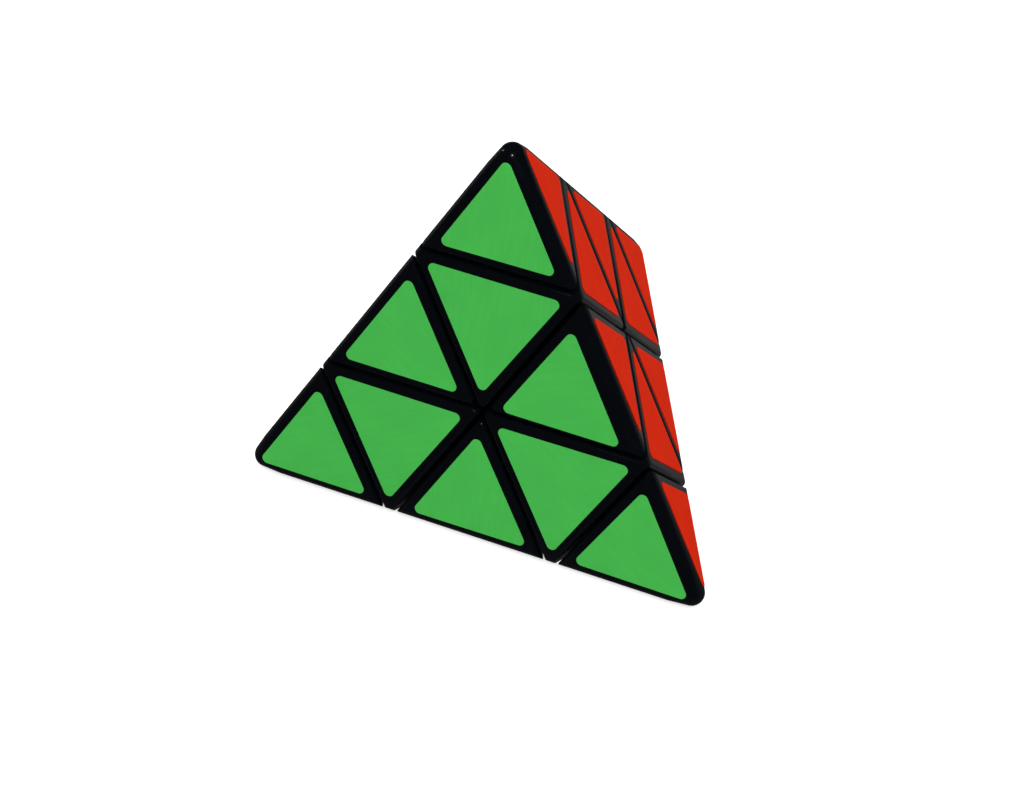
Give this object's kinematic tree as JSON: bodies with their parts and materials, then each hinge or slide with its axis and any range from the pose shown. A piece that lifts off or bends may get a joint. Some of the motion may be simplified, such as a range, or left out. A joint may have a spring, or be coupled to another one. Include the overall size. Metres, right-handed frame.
{
  "type": "pyramid twisty puzzle",
  "caption": "Tetrahedral twisty puzzle with stickered triangular cells, turning corner layers, turning tips and a hidden core with sprung screws",
  "frame": {"origin": "centre of the tetrahedron, where the four turning axes meet", "axes": "+Z through the top corner; the green face looks towards -Y and up; +X to the right of the green face, towards the right corner"},
  "size_m": [0.098, 0.0856, 0.0811],
  "materials": {
    "black_plastic": "gloss",
    "core_plastic": "satin",
    "screw_steel": "satin",
    "spring_steel": "satin",
    "sticker_green": "satin",
    "sticker_red": "satin",
    "sticker_yellow": "satin",
    "sticker_blue": "satin"
  },
  "bodies": {
    "core": {"core": "core_plastic", "screw_top": "screw_steel", "screw_left": "screw_steel", "screw_right": "screw_steel", "screw_back": "screw_steel", "spring_top": "spring_steel", "spring_left": "spring_steel", "spring_right": "spring_steel", "spring_back": "spring_steel"},
    "centre_top": {"centre_top": "black_plastic", "sticker_red_centre_top": "sticker_red", "sticker_yellow_centre_top": "sticker_yellow", "sticker_green_centre_top": "sticker_green"},
    "tip_top": {"tip_top": "black_plastic", "sticker_red_tip_top": "sticker_red", "sticker_yellow_tip_top": "sticker_yellow", "sticker_green_tip_top": "sticker_green"},
    "centre_left": {"centre_left": "black_plastic", "sticker_blue_centre_left": "sticker_blue", "sticker_yellow_centre_left": "sticker_yellow", "sticker_green_centre_left": "sticker_green"},
    "tip_left": {"tip_left": "black_plastic", "sticker_blue_tip_left": "sticker_blue", "sticker_yellow_tip_left": "sticker_yellow", "sticker_green_tip_left": "sticker_green"},
    "centre_right": {"centre_right": "black_plastic", "sticker_blue_centre_right": "sticker_blue", "sticker_red_centre_right": "sticker_red", "sticker_green_centre_right": "sticker_green"},
    "tip_right": {"tip_right": "black_plastic", "sticker_blue_tip_right": "sticker_blue", "sticker_red_tip_right": "sticker_red", "sticker_green_tip_right": "sticker_green"},
    "centre_back": {"centre_back": "black_plastic", "sticker_blue_centre_back": "sticker_blue", "sticker_red_centre_back": "sticker_red", "sticker_yellow_centre_back": "sticker_yellow"},
    "tip_back": {"tip_back": "black_plastic", "sticker_blue_tip_back": "sticker_blue", "sticker_red_tip_back": "sticker_red", "sticker_yellow_tip_back": "sticker_yellow"},
    "edge_top_left": {"edge_top_left": "black_plastic", "sticker_yellow_edge_top_left": "sticker_yellow", "sticker_green_edge_top_left": "sticker_green"},
    "edge_top_right": {"edge_top_right": "black_plastic", "sticker_red_edge_top_right": "sticker_red", "sticker_green_edge_top_right": "sticker_green"},
    "edge_top_back": {"edge_top_back": "black_plastic", "sticker_red_edge_top_back": "sticker_red", "sticker_yellow_edge_top_back": "sticker_yellow"},
    "edge_left_right": {"edge_left_right": "black_plastic", "sticker_blue_edge_left_right": "sticker_blue", "sticker_green_edge_left_right": "sticker_green"},
    "edge_left_back": {"edge_left_back": "black_plastic", "sticker_blue_edge_left_back": "sticker_blue", "sticker_yellow_edge_left_back": "sticker_yellow"},
    "edge_right_back": {"edge_right_back": "black_plastic", "sticker_blue_edge_right_back": "sticker_blue", "sticker_red_edge_right_back": "sticker_red"}
  },
  "joints": [
    {"name": "layer_top", "type": "hinge", "parent": "core", "child": "centre_top", "pos_m": [0, 0, 0], "axis": [0, 0, 1], "range_deg": [-120, 240]},
    {"name": "layer_left", "type": "hinge", "parent": "core", "child": "centre_left", "pos_m": [0, 0, 0], "axis": [-0.8165, -0.4714, -0.3333], "range_deg": [-120, 240]},
    {"name": "layer_right", "type": "hinge", "parent": "core", "child": "centre_right", "pos_m": [0, 0, 0], "axis": [0.8165, -0.4714, -0.3333], "range_deg": [-120, 240]},
    {"name": "layer_back", "type": "hinge", "parent": "core", "child": "centre_back", "pos_m": [0, 0, 0], "axis": [0, 0.9428, -0.3333], "range_deg": [-120, 240]},
    {"name": "tip_turn_top", "type": "hinge", "parent": "centre_top", "child": "tip_top", "pos_m": [0, 0, 0], "axis": [0, 0, 1], "continuous": true},
    {"name": "tip_turn_left", "type": "hinge", "parent": "centre_left", "child": "tip_left", "pos_m": [0, 0, 0], "axis": [-0.8165, -0.4714, -0.3333], "continuous": true},
    {"name": "tip_turn_right", "type": "hinge", "parent": "centre_right", "child": "tip_right", "pos_m": [0, 0, 0], "axis": [0.8165, -0.4714, -0.3333], "continuous": true},
    {"name": "tip_turn_back", "type": "hinge", "parent": "centre_back", "child": "tip_back", "pos_m": [0, 0, 0], "axis": [0, 0.9428, -0.3333], "continuous": true},
    {"name": "carry_top_left", "type": "hinge", "parent": "centre_top", "child": "edge_top_left", "pos_m": [0, 0, 0], "axis": [-0.8165, -0.4714, -0.3333], "range_deg": [-120, 240]},
    {"name": "carry_top_right", "type": "hinge", "parent": "centre_top", "child": "edge_top_right", "pos_m": [0, 0, 0], "axis": [0.8165, -0.4714, -0.3333], "range_deg": [-120, 240]},
    {"name": "carry_top_back", "type": "hinge", "parent": "centre_top", "child": "edge_top_back", "pos_m": [0, 0, 0], "axis": [0, 0.9428, -0.3333], "range_deg": [-120, 240]},
    {"name": "carry_left_right", "type": "hinge", "parent": "centre_right", "child": "edge_left_right", "pos_m": [0, 0, 0], "axis": [-0.8165, -0.4714, -0.3333], "range_deg": [-120, 240]},
    {"name": "carry_left_back", "type": "hinge", "parent": "centre_left", "child": "edge_left_back", "pos_m": [0, 0, 0], "axis": [0, 0.9428, -0.3333], "range_deg": [-120, 240]},
    {"name": "carry_right_back", "type": "hinge", "parent": "centre_back", "child": "edge_right_back", "pos_m": [0, 0, 0], "axis": [0.8165, -0.4714, -0.3333], "range_deg": [-120, 240]}
  ],
  "couplings": [
    {"joint": "carry_top_left", "follows": "layer_left", "ratio": 1},
    {"joint": "carry_top_right", "follows": "layer_right", "ratio": 1},
    {"joint": "carry_top_back", "follows": "layer_back", "ratio": 1},
    {"joint": "carry_left_right", "follows": "layer_left", "ratio": 1},
    {"joint": "carry_left_back", "follows": "layer_back", "ratio": 1},
    {"joint": "carry_right_back", "follows": "layer_right", "ratio": 1}
  ]
}
